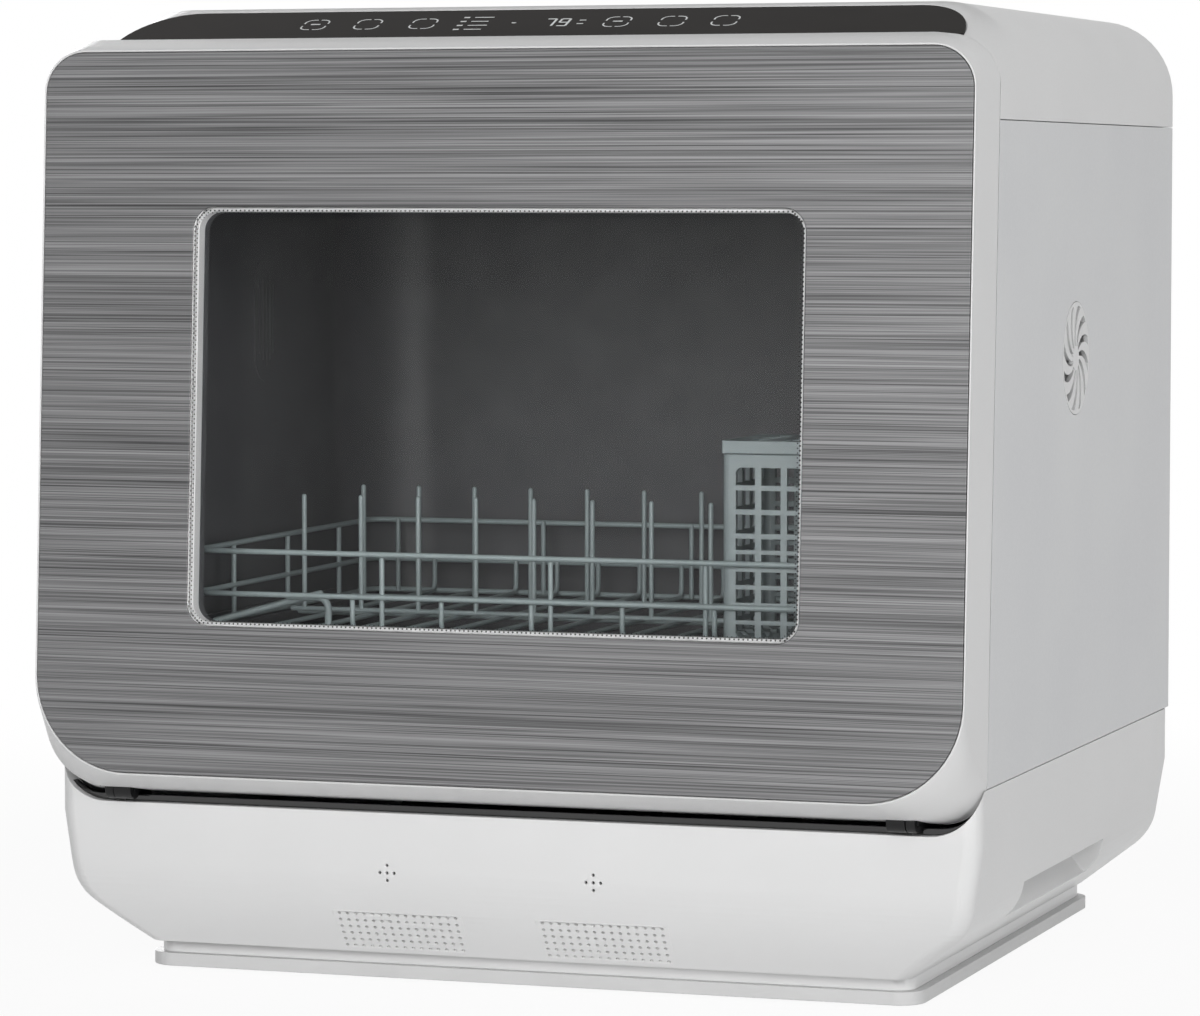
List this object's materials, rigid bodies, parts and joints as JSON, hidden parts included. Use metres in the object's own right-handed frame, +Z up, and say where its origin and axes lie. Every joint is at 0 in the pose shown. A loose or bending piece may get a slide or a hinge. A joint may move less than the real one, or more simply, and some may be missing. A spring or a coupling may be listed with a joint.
{
  "type": "countertop dishwasher",
  "caption": "Countertop dishwasher with a drop-down window door, wire rack, cutlery basket, spray arm and sloped touch strip.",
  "frame": {"origin": "on the floor under the feet, at the middle of the body's width and depth", "axes": "+X to the right as seen from the front, +Y to the back, +Z up; the door faces -Y"},
  "size_m": [0.42, 0.388, 0.426],
  "materials": {
    "white_plastic": "satin",
    "white_panel": "satin",
    "brushed_face": "brushed",
    "clear_glass": "gloss",
    "black_gloss": "gloss",
    "dark_plastic": "matte",
    "coated_wire": "satin",
    "basket_plastic": "matte",
    "steel": "satin",
    "rubber": "matte",
    "works_plastic": "matte",
    "tank_plastic": "matte"
  },
  "bodies": {
    "cabinet": {"top_cover": "white_plastic", "side_panel_left": "white_panel", "side_panel_right": "white_panel", "side_vent": "white_plastic", "rear_panel": "white_panel", "base_shell": "white_plastic", "plinth": "white_plastic", "grille_left": "white_plastic", "grille_right": "white_plastic", "foot_front_left": "rubber", "foot_front_right": "rubber", "foot_rear_left": "rubber", "foot_rear_right": "rubber", "front_frame": "white_plastic", "tub": "dark_plastic", "tub_flange": "dark_plastic", "tub_seal": "rubber", "gap_trim": "black_gloss", "control_glass": "black_gloss", "control_board": "works_plastic", "lock_bracket": "steel", "hinge_arm_left": "steel", "hinge_arm_right": "steel", "hinge_pin_left": "steel", "hinge_pin_right": "steel", "sump": "dark_plastic", "wash_pump": "works_plastic", "drain_pump": "works_plastic", "feed_pipe": "dark_plastic", "water_tank": "tank_plastic", "tank_shelf": "steel", "fill_funnel": "white_plastic", "fan_housing": "dark_plastic", "air_grille": "dark_plastic", "runner_left": "dark_plastic", "runner_right": "dark_plastic", "rack_frame": "coated_wire", "rack_grid": "coated_wire", "rack_tines": "coated_wire", "inlet_port": "works_plastic", "drain_port": "works_plastic", "power_inlet": "works_plastic", "spray_hub": "dark_plastic", "spray_nut": "dark_plastic"},
    "door": {"door_rim": "white_plastic", "door_face": "brushed_face", "window_frame": "white_plastic", "outer_glass": "clear_glass", "inner_glass": "clear_glass", "door_liner": "dark_plastic", "hinge_bracket_left": "steel", "hinge_bracket_right": "steel", "door_strike": "steel"},
    "lock_hook": {"lock_hook": "steel"},
    "spray_arm": {"spray_arm": "dark_plastic"},
    "filter": {"filter": "steel"},
    "fan": {"fan_impeller": "dark_plastic"},
    "fill_lid": {"fill_lid": "white_plastic"},
    "cutlery_basket": {"cutlery_basket": "basket_plastic"},
    "cutlery_lid": {"cutlery_lid": "basket_plastic"}
  },
  "joints": [
    {"name": "door_hinge", "type": "hinge", "parent": "cabinet", "child": "door", "pos_m": [0, -0.17, 0.084], "axis": [1, 0, 0], "range_deg": [0, 90]},
    {"name": "lock_swing", "type": "hinge", "parent": "cabinet", "child": "lock_hook", "pos_m": [0, -0.099, 0.391], "axis": [-1, 0, 0], "range_deg": [0, 12]},
    {"name": "spray_arm_spin", "type": "hinge", "parent": "cabinet", "child": "spray_arm", "pos_m": [0, -0.018, 0.129], "axis": [0, 0, 1], "continuous": true},
    {"name": "filter_turn", "type": "hinge", "parent": "cabinet", "child": "filter", "pos_m": [0.078, -0.018, 0.11], "axis": [0, 0, 1], "range_deg": [0, 45]},
    {"name": "fan_spin", "type": "hinge", "parent": "cabinet", "child": "fan", "pos_m": [0.195, -0.0015, 0.271], "axis": [1, 0, 0], "continuous": true},
    {"name": "fill_lid_hinge", "type": "hinge", "parent": "cabinet", "child": "fill_lid", "pos_m": [-0.12, 0.1735, 0.4238], "axis": [-1, 0, 0], "range_deg": [0, 100]},
    {"name": "basket_lift", "type": "slide", "parent": "cabinet", "child": "cutlery_basket", "axis": [0, 0, 1], "range_m": [0, 0.06]},
    {"name": "basket_lid_hinge", "type": "hinge", "parent": "cutlery_basket", "child": "cutlery_lid", "pos_m": [0.1215, -0.0602, 0.2352], "axis": [-1, 0, 0], "range_deg": [0, 100]}
  ]
}
